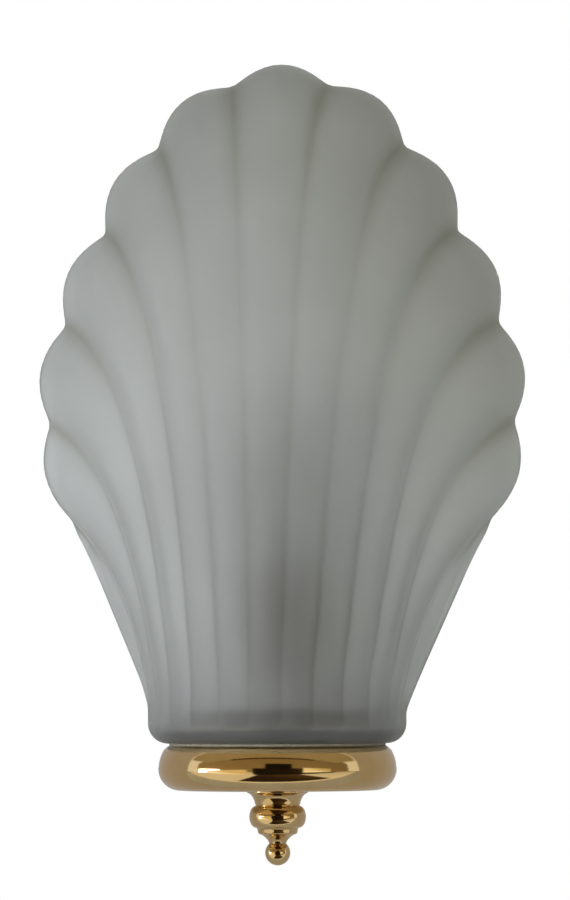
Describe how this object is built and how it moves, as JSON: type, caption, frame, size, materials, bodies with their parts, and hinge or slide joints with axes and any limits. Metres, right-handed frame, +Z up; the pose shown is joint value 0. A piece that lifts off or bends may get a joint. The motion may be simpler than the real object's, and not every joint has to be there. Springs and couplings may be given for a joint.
{
  "type": "shell wall sconce",
  "caption": "Wall light with an upright scallop-shell shade of frosted glass, clamped on a hollow rod between a brass gallery with finial and a bent arm on a steel wall plate.",
  "frame": {"origin": "midway between the two wall screws, on the back face of the wall plate", "axes": "+Z up, +Y into the wall, +X to the right as seen from the room"},
  "size_m": [0.1858, 0.1004, 0.3023],
  "materials": {
    "zinc_plated_steel": "zinc plated, satin",
    "plated_fastener": "zinc plated, fine",
    "black_rubber": "matt",
    "white_nylon": "moulded, slightly translucent",
    "terminal_brass": "plain, unlacquered",
    "brown_insulation": "smooth",
    "blue_insulation": "smooth",
    "earth_insulation": "green with a yellow stripe",
    "dark_phenolic": "moulded, dull gloss",
    "frosted_glass": "satin etched on both faces",
    "soft_gasket": "matt",
    "bronzed_steel": "dark bronze lacquer",
    "polished_brass": "polished and lacquered",
    "bulb_metal": "bright",
    "bulb_insulation": "glazed",
    "opal_glass": "satin opal"
  },
  "bodies": {
    "bracket": {"back_plate": "zinc_plated_steel", "support_arm": "zinc_plated_steel", "arm_rivets": "plated_fastener", "cable_grommet": "black_rubber", "terminal_block": "white_nylon", "terminal_barrels": "terminal_brass", "terminal_screws": "plated_fastener", "block_screw": "plated_fastener", "earth_screw": "plated_fastener", "earth_washer": "plated_fastener", "earth_lug": "terminal_brass", "live_wire": "brown_insulation", "neutral_wire": "blue_insulation", "earth_wire": "earth_insulation", "threaded_rod": "zinc_plated_steel", "lock_nuts": "plated_fastener", "spring_washer": "plated_fastener", "lampholder_cap": "dark_phenolic", "lampholder_barrel": "dark_phenolic", "lampholder_sleeve": "terminal_brass", "centre_contact": "terminal_brass"},
    "shade": {"shell_shade": "frosted_glass", "upper_gasket": "soft_gasket", "lower_gasket": "soft_gasket", "clamp_disc": "bronzed_steel", "gallery": "polished_brass"},
    "finial": {"finial": "polished_brass"},
    "bulb_foot": {"bulb_insulator": "bulb_insulation", "bulb_contact": "bulb_metal"},
    "bulb": {"bulb_cap": "bulb_metal", "bulb_envelope": "opal_glass"}
  },
  "joints": [
    {"name": "shade_lower", "type": "slide", "parent": "bracket", "child": "shade", "axis": [0, 0, -1], "range_m": [0, 0.008]},
    {"name": "finial_turn", "type": "hinge", "parent": "shade", "child": "finial", "pos_m": [0, -0.052, -0.1], "axis": [0, 0, -1], "range_deg": [0, 2880]},
    {"name": "bulb_lift", "type": "slide", "parent": "bracket", "child": "bulb_foot", "axis": [0, 0, 1], "range_m": [0, 0.00987]},
    {"name": "bulb_turn", "type": "hinge", "parent": "bulb_foot", "child": "bulb", "pos_m": [0, -0.052, 0], "axis": [0, 0, 1], "range_deg": [0, 1260]}
  ],
  "couplings": [
    {"joint": "finial_turn", "follows": "shade_lower", "rad_per_m": 6283.2},
    {"joint": "bulb_turn", "follows": "bulb_lift", "rad_per_m": 2228.1}
  ]
}
